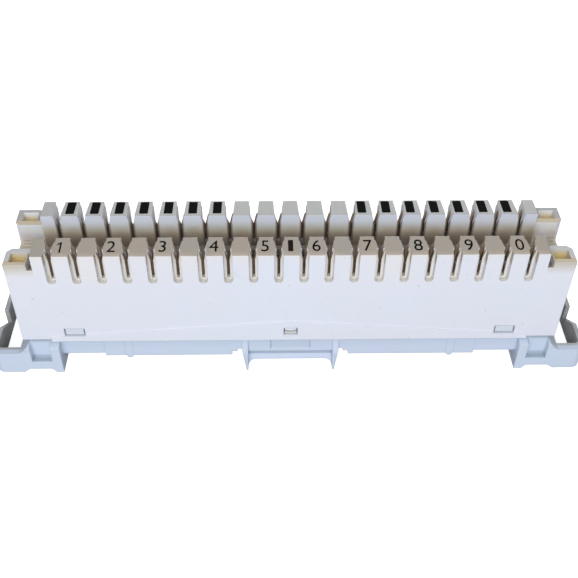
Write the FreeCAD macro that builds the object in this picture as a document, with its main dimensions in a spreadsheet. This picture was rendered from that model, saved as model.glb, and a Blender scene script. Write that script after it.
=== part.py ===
import FreeCAD, Part
import math
import os
import types

import Sketcher

# A ten-pair punch-down disconnection block: two combs of insulation-displacement
# contacts face each other across a test channel, in a snap-on base with feet and
# wire guides. X runs along the combs, the front faces -Y, the contacts open up +Z,
# and the origin lies in the middle of the plane that the feet stand on.

# Driving dimensions in millimetres, one cell of the sheet each.
SIZES = {
    # combs
    "pair_count": 10,
    "contact_pitch": 5.0,
    "end_tooth_reach": 3.3,
    "housing_length": 112.8,
    "housing_depth": 17.3,
    "housing_base": 8.1,
    "tooth_top": 31.7,
    "label_rise": 0.35,
    "row_depth": 5.25,
    "valley_floor": 24.0,
    "groove_width": 1.75,
    "groove_depth": 1.4,
    "groove_bottom": 24.5,
    "groove_round": 0.8,
    "groove_round_half": 0.68,
    "groove_round_rise": 0.28,
    "groove_flat_half": 0.32,
    "mouth_width": 1.6,
    "waist_width": 0.95,
    "slot_width": 0.6,
    "slot_bottom": 24.7,
    "slot_throat": 29.4,
    "flare_width": 2.15,
    "flare_floor": 30.5,
    "front_flare_end": 1.9,
    "rear_flare_end": 4.2,
    "inner_lip": 1.1,
    "inner_throat": 28.7,
    "front_bay_floor": 27.4,
    "front_bay_top": 30.9,
    "rear_bay_floor": 26.0,
    # housing ends
    "ear_top": 29.6,
    "ear_row_depth": 5.0,
    "ear_corner": 1.0,
    "ear_cup_start": 52.1,
    "ear_cup_end": 55.4,
    "ear_cup_front_wall": 0.95,
    "ear_cup_depth": 2.7,
    "ear_cup_drop": 1.6,
    "ear_notch_width": 1.1,
    "ear_notch_floor": 28.1,
    "ear_well_depth": 2.6,
    "ear_well_floor": 25.0,
    "ear_ledge_start": 53.6,
    "ear_ledge_end": 55.6,
    "ear_ledge_depth": 0.4,
    "ear_ledge_height": 0.35,
    "ear_ledge_low": 24.3,
    "ear_ledge_high": 25.1,
    "end_lift_start": 50.4,
    "end_lift": 0.45,
    # housing front
    "wall": 1.3,
    "trough_top": 12.3,
    "window_station": 45.2,
    "window_width": 4.3,
    "window_height": 2.2,
    "window_level": 10.65,
    "middle_window_width": 2.9,
    "band_proud": 0.25,
    "band_half_length": 50.3,
    "band_crown_half": 1.5,
    "band_end_level": 9.35,
    "band_middle_level": 13.5,
    # contact cavities
    "row_centre": 5.55,
    "cavity_clearance": 0.12,
    "cavity_headroom": 0.25,
    "chamber_half_width": 1.5,
    "chamber_half_depth": 5.9,
    "chamber_top": 22.4,
    "chamber_overlap": 1.0,
    "test_slot_width": 0.9,
    "test_slot_length": 4.4,
    # contacts
    "contact_width": 3.4,
    "contact_sheet": 0.5,
    "contact_top": 30.2,
    "fork_gap": 0.14,
    "fork_mouth": 1.8,
    "fork_mouth_depth": 2.2,
    "fork_bottom": 23.6,
    "tine_taper": 0.4,
    "tine_taper_height": 0.9,
    "shoulder_level": 22.0,
    "shank_width": 2.6,
    "shank_bottom": 12.45,
    "spring_bottom": 15.5,
    "spring_top": 20.5,
    "spring_sheet": 0.4,
    "spring_root_depth": 0.55,
    "spring_reach_past_middle": 0.9,
    "spring_touch_gap": 0.06,
    # base rail
    "rail_recess": 0.35,
    "rail_deck": 6.6,
    "rail_wall": 1.4,
    "rail_bottom": 3.05,
    "rail_end_bottom": 3.9,
    "rail_end_start": 39.7,
    "rail_half_length": 47.5,
    "rail_rib_station": 34.5,
    "rail_rib_radius": 0.7,
    "plug_clearance": 0.15,
    "plug_hollow_top": 10.6,
    "nib_clearance": 0.2,
    "nib_setback": 0.15,
    # middle bracket of the base
    "notch_half_length": 12.5,
    "notch_level": 4.1,
    "panel_half_length": 4.2,
    "panel_bottom": 4.75,
    "panel_depth": 0.25,
    "leg_inner": 9.05,
    "leg_outer": 10.35,
    "leg_top": 7.2,
    "leg_knee": 4.9,
    "leg_tip": 9.45,
    "leg_clearance": 0.1,
    "leg_sheet": 1.3,
    "leg_proud": 0.2,
    "apron_top_setback": 0.8,
    "apron_bottom_setback": 1.25,
    "apron_sheet": 1.1,
    "apron_bottom": 1.7,
    "apron_flare": 1.6,
    # feet
    "foot_inner": 48.8,
    "foot_outer": 57.5,
    "foot_depth": 20.5,
    "foot_shoulder": 7.5,
    "foot_slope_start": 55.1,
    "foot_wall": 2.9,
    "foot_arch_start": 51.3,
    "foot_arch_end": 56.0,
    "foot_arch_rise": 1.1,
    "foot_arch_inner_run": 0.9,
    "foot_arch_outer_run": 1.4,
    "foot_window_start": 50.8,
    "foot_window_end": 55.1,
    "foot_window_sill": 3.2,
    "foot_window_depth": 1.5,
    # wire guides
    "guide_outer": 63.3,
    "guide_wall": 0.9,
    "guide_front_wall": 2.0,
    "guide_top": 5.8,
    "guide_bottom": 0.15,
    "guide_corner": 1.9,
    "slit_edge": 3.0,
    "slit_slope_start": 2.4,
    "slit_floor": 1.9,
}


class Size:
    """A length that carries its number and the sheet expression behind it."""

    def __init__(self, text, number):
        self.text = text
        self.number = number

    @staticmethod
    def of(value):
        if isinstance(value, Size):
            return value
        return Size(repr(float(value)), float(value))

    def __add__(self, other):
        other = Size.of(other)
        return Size(f"({self.text} + {other.text})", self.number + other.number)

    def __radd__(self, other):
        return Size.of(other) + self

    def __sub__(self, other):
        other = Size.of(other)
        return Size(f"({self.text} - {other.text})", self.number - other.number)

    def __rsub__(self, other):
        return Size.of(other) - self

    def __mul__(self, other):
        other = Size.of(other)
        return Size(f"({self.text} * {other.text})", self.number * other.number)

    def __rmul__(self, other):
        return Size.of(other) * self

    def __truediv__(self, other):
        other = Size.of(other)
        return Size(f"({self.text} / {other.text})", self.number / other.number)

    def __neg__(self):
        return Size(f"(0 - {self.text})", -self.number)


doc = FreeCAD.newDocument("punch_down_block")
sheet = doc.addObject("Spreadsheet::Sheet", "sizes")
for row, (alias, number) in enumerate(SIZES.items(), start=1):
    sheet.set(f"A{row}", alias)
    sheet.set(f"B{row}", str(number))
    sheet.setAlias(f"B{row}", alias)
doc.recompute()

d = types.SimpleNamespace(**{alias: Size(f"sizes.{alias}", float(sheet.get(alias))) for alias in SIZES})

# Shared places, worked out once from the driving dimensions.
HALF = 0.5
MARGIN = 1.0
pair_count = int(sheet.get("pair_count"))
slot_count = 2 * pair_count
half_depth = d.housing_depth * HALF
half_length = d.housing_length * HALF
valley_half = half_depth - d.row_depth
slot_span = (d.pair_count * 2 - 1) * d.contact_pitch
first_slot = -slot_span * HALF
comb_half_length = slot_span * HALF + d.end_tooth_reach
label_top = d.tooth_top + d.label_rise
rail_half_depth = half_depth - d.rail_recess
trough_half_depth = half_depth - d.wall
trough_half_length = half_length - d.wall
above_all = label_top + MARGIN
below_all = Size.of(-MARGIN)
foot_half_depth = d.foot_depth * HALF


def line_path(*corners):
    """Straight runs through the corners, closed back to the first."""
    return [(Size.of(x), Size.of(y), None) for x, y in corners]


def mirrored_path(path):
    """The same outline on the other side of the sketch's vertical axis."""
    return [(-x, y, None) for x, y, bend in path]


def rectangle(left, bottom, right, top):
    return line_path((left, bottom), (right, bottom), (right, top), (left, top))


def both_sides(right):
    """Joins the right-hand half of an outline with its mirror image."""
    left = []
    bend_ahead = None
    for x, y, bend in reversed(right):
        left.append((-x, y, bend_ahead))
        bend_ahead = None if bend is None else (-bend[0], bend[1], bend[2])
    return right + left


def arc_to(x, y, centre, turn):
    """A corner reached by an arc about centre, turn +1 anticlockwise or -1 clockwise."""
    return (Size.of(x), Size.of(y), (Size.of(centre[0]), Size.of(centre[1]), turn))


def point_at(x, y):
    return FreeCAD.Vector(x.number, y.number, 0)


def pin_coordinate(sketch, kind, geometry, position, size, name):
    """Holds one coordinate of a sketch point at a size of the sheet."""
    origin_point = (-1, 1)
    index = sketch.addConstraint(Sketcher.Constraint(kind, *origin_point, geometry, position, size.number))
    sketch.renameConstraint(index, name)
    if "sizes." in size.text:
        sketch.setExpression(f"Constraints.{name}", size.text)


def add_outline(sketch, path):
    """Draws a closed path of lines and arcs with every corner bound to the sheet."""
    path = [(Size.of(x), Size.of(y), bend) for x, y, bend in path]
    segments = []
    for index, (x, y, bend) in enumerate(path):
        from_x, from_y, unused_bend = path[index - 1]
        start = point_at(from_x, from_y)
        end = point_at(x, y)
        if bend is None:
            geometry = sketch.addGeometry(Part.LineSegment(start, end), False)
            segments.append((geometry, 1, 2))
            continue
        centre_x, centre_y, turn = bend
        centre = point_at(centre_x, centre_y)
        first, last = (start, end) if turn > 0 else (end, start)
        circle = Part.Circle(centre, FreeCAD.Vector(0, 0, 1), (first - centre).Length)
        first_angle = math.atan2(first.y - centre.y, first.x - centre.x)
        last_angle = math.atan2(last.y - centre.y, last.x - centre.x)
        if last_angle < first_angle:
            last_angle += 2 * math.pi
        geometry = sketch.addGeometry(Part.ArcOfCircle(circle, first_angle, last_angle), False)
        segments.append((geometry, 1, 2) if turn > 0 else (geometry, 2, 1))
        chord = end - start
        centre_point = 3
        if abs(chord.x) > abs(chord.y):
            pin_coordinate(sketch, "DistanceY", geometry, centre_point, centre_y, f"cy{geometry}")
        else:
            pin_coordinate(sketch, "DistanceX", geometry, centre_point, centre_x, f"cx{geometry}")
    joints = []
    for index, (geometry, start_point, end_point) in enumerate(segments):
        before_geometry, unused_start, before_end = segments[index - 1]
        joints.append(Sketcher.Constraint("Coincident", before_geometry, before_end, geometry, start_point))
    sketch.addConstraint(joints)
    for (x, y, bend), (geometry, start_point, end_point) in zip(path, segments):
        pin_coordinate(sketch, "DistanceX", geometry, end_point, x, f"x{geometry}")
        pin_coordinate(sketch, "DistanceY", geometry, end_point, y, f"y{geometry}")


def new_body(label):
    body = doc.addObject("PartDesign::Body", label)
    body.Label = label
    return body


def origin_plane(body, role):
    return next(feature for feature in body.Origin.OriginFeatures if feature.Role == role)


def new_sketch(body, name, role, paths, offset=None):
    """A sketch on one of the body's own origin planes, moved along its normal."""
    sketch = body.newObject("Sketcher::SketchObject", name)
    sketch.AttachmentSupport = (origin_plane(body, role), [""])
    sketch.MapMode = "FlatFace"
    for path in paths:
        add_outline(sketch, path)
    if offset is not None:
        offset = Size.of(offset)
        sketch.AttachmentOffset = FreeCAD.Placement(FreeCAD.Vector(0, 0, offset.number), FreeCAD.Rotation())
        sketch.setExpression("AttachmentOffset.Base.z", offset.text)
    return sketch


def extrude(body, kind, name, sketch, length, side="One side", reverse=False):
    """A Pad or a Pocket of the sketch, with its length bound to the sheet."""
    length = Size.of(length)
    feature = body.newObject(f"PartDesign::{kind}", name)
    feature.Profile = sketch
    feature.SideType = side
    feature.Reversed = reverse
    feature.Length = length.number
    feature.setExpression("Length", length.text)
    sketch.Visibility = False
    doc.recompute()
    return feature


def pad_up(body, name, paths, bottom, top):
    """A pad of a plan outline between two levels."""
    sketch = new_sketch(body, f"{name}_outline", "XY_Plane", paths, bottom)
    return extrude(body, "Pad", name, sketch, Size.of(top) - bottom)


def pocket_up(body, name, paths, bottom, top):
    """A pocket of a plan outline between two levels."""
    sketch = new_sketch(body, f"{name}_outline", "XY_Plane", paths, bottom)
    return extrude(body, "Pocket", name, sketch, Size.of(top) - bottom, reverse=True)


def pocket_through_depth(body, name, paths, near, far):
    """A pocket of a front view outline, from depth near to depth far in +Y."""
    sketch = new_sketch(body, f"{name}_outline", "XZ_Plane", paths, -Size.of(near))
    return extrude(body, "Pocket", name, sketch, Size.of(far) - near)


def row_pattern(body, name, originals):
    """Repeats the first slot's features once at each slot of the comb."""
    pattern = body.newObject("PartDesign::LinearPattern", name)
    pattern.Originals = originals
    x_axis = next(feature for feature in body.Origin.OriginFeatures if feature.Role == "X_Axis")
    pattern.Direction = (x_axis, [""])
    pattern.Mode = "Extent"
    pattern.Length = slot_span.number
    pattern.setExpression("Length", slot_span.text)
    pattern.Occurrences = slot_count
    pattern.setExpression("Occurrences", "sizes.pair_count * 2")
    body.Tip = pattern
    doc.recompute()
    return pattern


def mirror(body, name, originals, role):
    mirrored = body.newObject("PartDesign::Mirrored", name)
    mirrored.Originals = originals
    mirrored.MirrorPlane = (origin_plane(body, role), [""])
    body.Tip = mirrored
    doc.recompute()
    return mirrored


def slanted_rectangle(centre_x, centre_y, half_width, half_thickness):
    """A rectangle in plan whose long side stands at 45 degrees to the comb."""
    slant = math.sqrt(HALF)
    along = half_width * slant
    across = half_thickness * slant
    return line_path(
        (centre_x - along + across, centre_y - along - across),
        (centre_x + along + across, centre_y + along - across),
        (centre_x + along - across, centre_y + along + across),
        (centre_x - along - across, centre_y - along + across),
    )


# Housing: the moulded comb block.
def make_housing():
    body = new_body("terminal_block")
    # cross-section of the two rows with the test channel between them
    section = line_path(
        (-half_depth, d.housing_base),
        (half_depth, d.housing_base),
        (half_depth, d.tooth_top),
        (valley_half, label_top),
        (valley_half, d.valley_floor),
        (-valley_half, d.valley_floor),
        (-valley_half, label_top),
        (-half_depth, d.tooth_top),
    )
    sketch = new_sketch(body, "section", "YZ_Plane", [section])
    extrude(body, "Pad", "moulding", sketch, d.housing_length, side="Symmetric")
    cut_ears(body)

    # the ends of the lower edge stand clear of the base
    lift = rectangle(d.end_lift_start, below_all, half_length + MARGIN, d.housing_base + d.end_lift)
    pocket_through_depth(body, "end_lift", [lift, mirrored_path(lift)], -half_depth - MARGIN, half_depth + MARGIN)

    # trough that takes the base, open below
    trough = rectangle(-trough_half_length, -trough_half_depth, trough_half_length, trough_half_depth)
    pocket_up(body, "trough", [trough], below_all, d.trough_top)

    # arched band that stands a little proud along the lower edge
    band = band_path()
    sketch = new_sketch(body, "band_outline", "XZ_Plane", [band], half_depth)
    extrude(body, "Pad", "band_front", sketch, d.band_proud)
    sketch = new_sketch(body, "band_rear_outline", "XZ_Plane", [band], -half_depth)
    extrude(body, "Pad", "band_rear", sketch, d.band_proud, reverse=True)

    # latch windows through the front and rear walls
    windows = []
    for station, width in window_list():
        windows.append(rectangle(
            station - width * HALF, d.window_level - d.window_height * HALF,
            station + width * HALF, d.window_level + d.window_height * HALF,
        ))
    pocket_through_depth(body, "windows", windows, -half_depth - MARGIN, half_depth + MARGIN)
    cut_slots(body)
    return body


def cut_ears(body):
    """The housing's ends: lower than the teeth, with a cup, a notch and a well in each ear."""
    ear = rectangle(comb_half_length, d.ear_top, half_length + MARGIN, above_all)
    pocket_through_depth(body, "ear_cut", [ear, mirrored_path(ear)], -half_depth - MARGIN, half_depth + MARGIN)

    # inner faces of the ears, with the outer corners cut off
    ear_back = half_depth - d.ear_row_depth
    corner_x = half_length - d.ear_corner
    corner_y = ear_back + d.ear_corner
    inner = line_path(
        (comb_half_length, -ear_back),
        (corner_x, -ear_back),
        (half_length, -corner_y),
        (half_length + MARGIN, -corner_y),
        (half_length + MARGIN, corner_y),
        (half_length, corner_y),
        (corner_x, ear_back),
        (comb_half_length, ear_back),
    )
    pocket_up(body, "ear_valley", [inner, mirrored_path(inner)], d.valley_floor, above_all)

    # open cup in the top of each ear
    cup_front = half_depth - d.ear_cup_front_wall
    cup_back = cup_front - d.ear_cup_depth
    cups = in_all_corners(d.ear_cup_start, cup_back, d.ear_cup_end, cup_front)
    pocket_up(body, "ear_cups", cups, d.ear_top - d.ear_cup_drop, above_all)

    # notch in the outer face beside the end tooth, and the narrow well behind it
    notch_end = comb_half_length + d.ear_notch_width
    notches = in_all_corners(comb_half_length, cup_front, notch_end, half_depth + MARGIN)
    pocket_up(body, "ear_notches", notches, d.ear_notch_floor, above_all)
    wells = in_all_corners(comb_half_length, cup_front - d.ear_well_depth, notch_end, cup_front)
    pocket_up(body, "ear_wells", wells, d.ear_well_floor, above_all)

    # two ledge grooves low in the inner face of each ear
    ledges = in_all_corners(d.ear_ledge_start, ear_back - MARGIN, d.ear_ledge_end, ear_back + d.ear_ledge_depth)
    for name, level in (("low", d.ear_ledge_low), ("high", d.ear_ledge_high)):
        pocket_up(body, f"ear_ledges_{name}", ledges, level, level + d.ear_ledge_height)


def in_all_corners(near_x, near_y, far_x, far_y):
    """One rectangle in plan, repeated in the four corners of the housing."""
    places = [rectangle(near_x, near_y, far_x, far_y), rectangle(near_x, -far_y, far_x, -near_y)]
    return places + [mirrored_path(place) for place in places]


def window_list():
    return [
        (-d.window_station, d.window_width),
        (Size.of(0), d.middle_window_width),
        (d.window_station, d.window_width),
    ]


def band_path():
    """Lower band of the front face, with an upper edge that rises to the middle."""
    return line_path(
        (-d.band_half_length, d.housing_base),
        (d.band_half_length, d.housing_base),
        (d.band_half_length, d.band_end_level),
        (d.band_crown_half, d.band_middle_level),
        (-d.band_crown_half, d.band_middle_level),
        (-d.band_half_length, d.band_end_level),
    )


def cut_slots(body):
    """Cuts the first slot of both rows, and repeats it along the comb."""
    groove_half = d.groove_width * HALF
    before = body.Tip.Shape.Volume
    # V-shaped mouths of both rows, and the narrow waist between the clamping ribs of the front row
    mouth_half = d.mouth_width * HALF
    waist_half = d.waist_width * HALF
    waist_y = d.front_flare_end - half_depth
    mouth = funnel_path(mouth_half, label_top, d.slot_throat)
    waist = funnel_path(waist_half, label_top, d.slot_throat)
    originals = [pocket_through_depth(body, "mouth_front", [mouth], -half_depth - MARGIN, waist_y)]
    originals.append(pocket_through_depth(body, "waist", [waist], -half_depth - MARGIN, MARGIN - valley_half))
    originals.append(pocket_through_depth(body, "mouth_rear", [mouth], valley_half - MARGIN, half_depth + MARGIN))
    # wider mouth at the lip of the front row that faces the test channel
    flare_half = d.flare_width * HALF
    lip = funnel_path(flare_half, d.flare_floor, d.inner_throat)
    front_lip = -valley_half - d.inner_lip
    originals.append(pocket_through_depth(body, "inner_mouth", [lip], front_lip, MARGIN - valley_half))
    # mouths that flare in plan, wide at the rear edge of each row
    front_flare = flare_path(-valley_half, waist_y, flare_half, waist_half)
    rear_flare = flare_path(half_depth + MARGIN, half_depth - d.rear_flare_end, flare_half, mouth_half)
    originals.append(pocket_up(body, "flares", [front_flare, rear_flare], d.flare_floor, above_all))
    # bays around the forks
    groove_back = half_depth - d.groove_depth
    front_bay = rectangle(first_slot - mouth_half, waist_y, first_slot + mouth_half, front_lip)
    rear_bay = rectangle(
        first_slot - mouth_half, valley_half + d.inner_lip, first_slot + mouth_half, groove_back)
    originals.append(pocket_up(body, "front_bay", [front_bay], d.front_bay_floor, d.front_bay_top))
    originals.append(pocket_up(body, "rear_bay", [rear_bay], d.rear_bay_floor, above_all))
    # rounded groove in each outer face
    groove = line_path(
        (first_slot - groove_half, above_all),
        (first_slot - groove_half, d.groove_bottom + d.groove_round),
        (first_slot - d.groove_round_half, d.groove_bottom + d.groove_round_rise),
        (first_slot - d.groove_flat_half, d.groove_bottom),
        (first_slot + d.groove_flat_half, d.groove_bottom),
        (first_slot + d.groove_round_half, d.groove_bottom + d.groove_round_rise),
        (first_slot + groove_half, d.groove_bottom + d.groove_round),
        (first_slot + groove_half, above_all),
    )
    originals.append(pocket_through_depth(body, "groove_front", [groove], -half_depth - MARGIN, -groove_back))
    originals.append(pocket_through_depth(body, "groove_rear", [groove], groove_back, half_depth + MARGIN))
    # cavities for the contact forks, at 45 degrees, from the trough upwards
    cavity_half_width = d.contact_width * HALF + d.cavity_clearance
    cavity_half_sheet = d.contact_sheet * HALF + d.cavity_clearance
    forks = [
        slanted_rectangle(first_slot, -d.row_centre, cavity_half_width, cavity_half_sheet),
        slanted_rectangle(first_slot, d.row_centre, cavity_half_width, cavity_half_sheet),
    ]
    originals.append(pocket_up(body, "fork_cavity", forks, d.housing_base, d.contact_top + d.cavity_headroom))
    # chamber in which the two springs of a slot meet, and the test slot above it
    chamber = rectangle(
        first_slot - d.chamber_half_width, -d.chamber_half_depth,
        first_slot + d.chamber_half_width, d.chamber_half_depth,
    )
    originals.append(pocket_up(body, "spring_chamber", [chamber], d.housing_base, d.chamber_top))
    test_half = d.test_slot_width * HALF
    test_slot = rectangle(
        first_slot - test_half, -d.test_slot_length * HALF,
        first_slot + test_half, d.test_slot_length * HALF,
    )
    test_bottom = d.chamber_top - d.chamber_overlap
    originals.append(pocket_up(body, "test_slot", [test_slot], test_bottom, d.valley_floor + MARGIN))
    if body.Tip.Shape.Volume >= before:
        raise ValueError("the first slot cut nothing")
    row_pattern(body, "slots", originals)


def funnel_path(half_width, shoulder, throat):
    """Front view of the first slot with a mouth that narrows from shoulder to throat."""
    slot_half = d.slot_width * HALF
    return line_path(
        (first_slot - slot_half, d.slot_bottom),
        (first_slot + slot_half, d.slot_bottom),
        (first_slot + slot_half, throat),
        (first_slot + half_width, shoulder),
        (first_slot + half_width, above_all),
        (first_slot - half_width, above_all),
        (first_slot - half_width, shoulder),
        (first_slot - slot_half, throat),
    )


def flare_path(wide_y, narrow_y, wide_half, narrow_half):
    """Plan of the first slot's mouth, wide at one depth and narrower at the other."""
    return line_path(
        (first_slot - narrow_half, narrow_y),
        (first_slot + narrow_half, narrow_y),
        (first_slot + wide_half, wide_y),
        (first_slot - wide_half, wide_y),
    )


# Base: rail, middle bracket, feet and wire guides in one moulding.
def make_base():
    body = new_body("base")
    sketch = new_sketch(body, "rail_outline", "XZ_Plane", [rail_path()])
    extrude(body, "Pad", "rail", sketch, rail_half_depth * 2, side="Symmetric")
    add_ends(body)

    # plug that closes the housing's trough and carries the contacts
    plug_x = trough_half_length - d.plug_clearance
    plug_y = trough_half_depth - d.plug_clearance
    plug_top = d.trough_top - d.plug_clearance
    pad_up(body, "plug", [rectangle(-plug_x, -plug_y, plug_x, plug_y)], d.rail_deck, plug_top)

    # snap nibs that show in the housing's windows
    nibs = []
    for station, width in window_list():
        nib_half = width * HALF - d.nib_clearance
        nibs.append(rectangle(
            station - nib_half, d.nib_setback - half_depth,
            station + nib_half, half_depth - d.nib_setback,
        ))
    nib_half_height = d.window_height * HALF - d.nib_clearance
    pad_up(body, "nibs", nibs, d.window_level - nib_half_height, d.window_level + nib_half_height)

    # hollow underside between the rail's walls
    hollow_y = rail_half_depth - d.rail_wall
    hollow = rectangle(-d.rail_half_length, -hollow_y, d.rail_half_length, hollow_y)
    pocket_up(body, "hollow", [hollow], below_all, d.rail_deck)
    deep_x = plug_x - d.rail_wall
    deep_y = plug_y - d.rail_wall
    pocket_up(body, "deep_hollow", [rectangle(-deep_x, -deep_y, deep_x, deep_y)], below_all, d.plug_hollow_top)

    # plates across the inner ends of the feet
    plate_y = foot_half_depth - d.foot_wall * HALF
    plate = rectangle(d.foot_inner, -plate_y, d.foot_inner + d.rail_wall, plate_y)
    pad_up(body, "foot_plates", [plate, mirrored_path(plate)], Size.of(0), d.rail_deck)

    add_bracket(body)
    return body


def add_ends(body):
    """Feet and wire guides, made at one end and mirrored to the other."""
    foot_front = line_path(
        (-foot_half_depth, 0),
        (d.foot_wall - foot_half_depth, 0),
        (d.foot_wall - foot_half_depth, d.housing_base),
        (-rail_half_depth, d.housing_base),
        (-foot_half_depth, d.foot_shoulder),
    )
    feet = [foot_front, mirrored_path(foot_front)]
    sketch = new_sketch(body, "foot_outline", "YZ_Plane", feet, d.foot_inner)
    foot = extrude(body, "Pad", "foot", sketch, d.foot_outer - d.foot_inner)
    end_wall = rectangle(
        d.foot_outer - d.rail_wall, d.rail_wall - foot_half_depth,
        d.foot_outer, foot_half_depth - d.rail_wall,
    )
    end_plate = pad_up(body, "end_plate", [end_wall], d.guide_bottom, d.housing_base)
    guide = pad_up(body, "wire_guide", [guide_path(), inner_guide_path()], d.guide_bottom, d.guide_top)
    mirror(body, "far_end", [foot, end_plate, guide], "YZ_Plane")

    # slope from the top of each foot down to its wire guide
    slope = line_path(
        (d.foot_slope_start, d.housing_base),
        (d.foot_outer, d.guide_top),
        (d.foot_outer + MARGIN, d.guide_top),
        (d.foot_outer + MARGIN, d.housing_base + MARGIN),
        (d.foot_slope_start, d.housing_base + MARGIN),
    )
    pocket_through_depth(
        body, "foot_slope", [slope, mirrored_path(slope)], -foot_half_depth - MARGIN, foot_half_depth + MARGIN)

    # slit in the outer wall of each wire guide, with a sloping lead-in
    slit = line_path(
        (-d.slit_slope_start, d.guide_top),
        (d.slit_edge, d.slit_floor),
        (d.slit_edge, d.guide_top + MARGIN),
        (-d.slit_slope_start, d.guide_top + MARGIN),
    )
    slit_length = d.guide_wall + MARGIN * 2
    near = d.guide_outer - d.guide_wall - MARGIN
    for name, offset in (("right", near), ("left", -near - slit_length)):
        sketch = new_sketch(body, f"slit_{name}_outline", "YZ_Plane", [slit], offset)
        extrude(body, "Pocket", f"slit_{name}", sketch, slit_length, reverse=True)

    # windows in the outer faces of the feet, and the arch under them
    window = rectangle(d.foot_window_start, d.foot_window_sill, d.foot_window_end, d.housing_base + MARGIN)
    windows = [window, mirrored_path(window)]
    window_back = foot_half_depth - d.foot_window_depth
    pocket_through_depth(body, "foot_window_front", windows, -foot_half_depth - MARGIN, -window_back)
    pocket_through_depth(body, "foot_window_rear", windows, window_back, foot_half_depth + MARGIN)
    arch = line_path(
        (d.foot_arch_start - d.foot_arch_inner_run, below_all),
        (d.foot_arch_end + d.foot_arch_outer_run, below_all),
        (d.foot_arch_end + d.foot_arch_outer_run, 0),
        (d.foot_arch_end, d.foot_arch_rise),
        (d.foot_arch_start, d.foot_arch_rise),
        (d.foot_arch_start - d.foot_arch_inner_run, 0),
    )
    pocket_through_depth(
        body, "foot_arch", [arch, mirrored_path(arch)], -foot_half_depth - MARGIN, foot_half_depth + MARGIN)


def add_bracket(body):
    """Middle bracket: a shallow panel in the rail, an apron below it and a pointed leg at each side."""
    panel = rectangle(-d.panel_half_length, d.panel_bottom, d.panel_half_length, d.housing_base + MARGIN)
    panel_back = rail_half_depth - d.panel_depth
    pocket_through_depth(body, "panel_front", [panel], -rail_half_depth - MARGIN, -panel_back)
    pocket_through_depth(body, "panel_rear", [panel], panel_back, rail_half_depth + MARGIN)

    # apron between the legs, leaning outwards from under the rail
    top = d.notch_level + d.rail_wall
    apron_top_face = rail_half_depth - d.apron_top_setback
    apron_tip_face = foot_half_depth - d.apron_bottom_setback
    apron = line_path(
        (-apron_top_face, d.notch_level),
        (-apron_top_face, top),
        (d.apron_sheet - apron_top_face, top),
        (d.apron_sheet - apron_tip_face, d.leg_clearance),
        (-apron_tip_face, d.leg_clearance),
    )
    sketch = new_sketch(body, "apron_outline", "YZ_Plane", [apron, mirrored_path(apron)])
    extrude(body, "Pad", "apron", sketch, d.leg_outer * 2 - d.leg_sheet, side="Symmetric")
    flare_start = d.leg_inner - d.apron_flare
    flare_end = d.apron_bottom - d.apron_flare
    arch = both_sides([
        (flare_start, d.apron_bottom, None),
        arc_to(d.leg_inner, flare_end, (flare_start, flare_end), -1),
        (d.leg_inner, flare_end - MARGIN, None),
    ])
    pocket_through_depth(body, "apron_arch", [arch], -foot_half_depth - MARGIN, foot_half_depth + MARGIN)

    # pointed legs, leaning out from the rail's face to the plane of the feet
    leg_face = rail_half_depth + d.leg_proud
    leg = line_path(
        (d.leg_sheet - rail_half_depth, d.leg_top),
        (-leg_face, d.leg_top),
        (-foot_half_depth, d.leg_clearance),
        (d.leg_sheet - foot_half_depth, d.leg_clearance),
    )
    for name, offset in (("right", d.leg_inner), ("left", -d.leg_outer)):
        sketch = new_sketch(body, f"leg_{name}_outline", "YZ_Plane", [leg, mirrored_path(leg)], offset)
        extrude(body, "Pad", f"leg_{name}", sketch, d.leg_outer - d.leg_inner)
    taper = line_path(
        (d.leg_tip, below_all),
        (d.leg_outer + MARGIN, below_all),
        (d.leg_outer + MARGIN, d.leg_knee),
        (d.leg_outer, d.leg_knee),
        (d.leg_tip, d.leg_clearance),
    )
    pocket_through_depth(
        body, "leg_taper", [taper, mirrored_path(taper)], -foot_half_depth - MARGIN, foot_half_depth + MARGIN)


def rail_path():
    """Front view of the rail with its notch, ribs and steps, on both sides of the middle."""
    rib_left = d.rail_rib_station - d.rail_rib_radius
    rib_right = d.rail_rib_station + d.rail_rib_radius
    right = [
        (d.notch_half_length, d.notch_level, None),
        (d.notch_half_length, d.rail_bottom, None),
        (rib_left, d.rail_bottom, None),
        arc_to(rib_right, d.rail_bottom, (d.rail_rib_station, d.rail_bottom), 1),
        (d.rail_end_start, d.rail_bottom, None),
        (d.rail_end_start, d.rail_end_bottom, None),
        (d.foot_inner, d.rail_end_bottom, None),
        (d.foot_inner, d.housing_base, None),
    ]
    return both_sides(right)


def guide_path():
    """Plan of a wire guide's outer wall, round at its two outer corners."""
    inner_x = d.foot_outer - d.rail_wall
    return bow_path(inner_x, d.guide_outer, foot_half_depth, d.guide_corner)


def inner_guide_path():
    """Opening inside a wire guide's wall."""
    outer = d.guide_outer - d.guide_wall
    corner = d.guide_corner - d.guide_wall
    return bow_path(d.foot_outer, outer, foot_half_depth - d.guide_front_wall, corner)


def bow_path(inner, outer, half, corner):
    """A rectangle in plan from inner to outer, with its outer corners rounded."""
    return [
        (inner, half, None),
        (inner, -half, None),
        (outer - corner, -half, None),
        arc_to(outer, corner - half, (outer - corner, corner - half), 1),
        (outer, half - corner, None),
        arc_to(outer - corner, half, (outer - corner, half - corner), 1),
    ]


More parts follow.
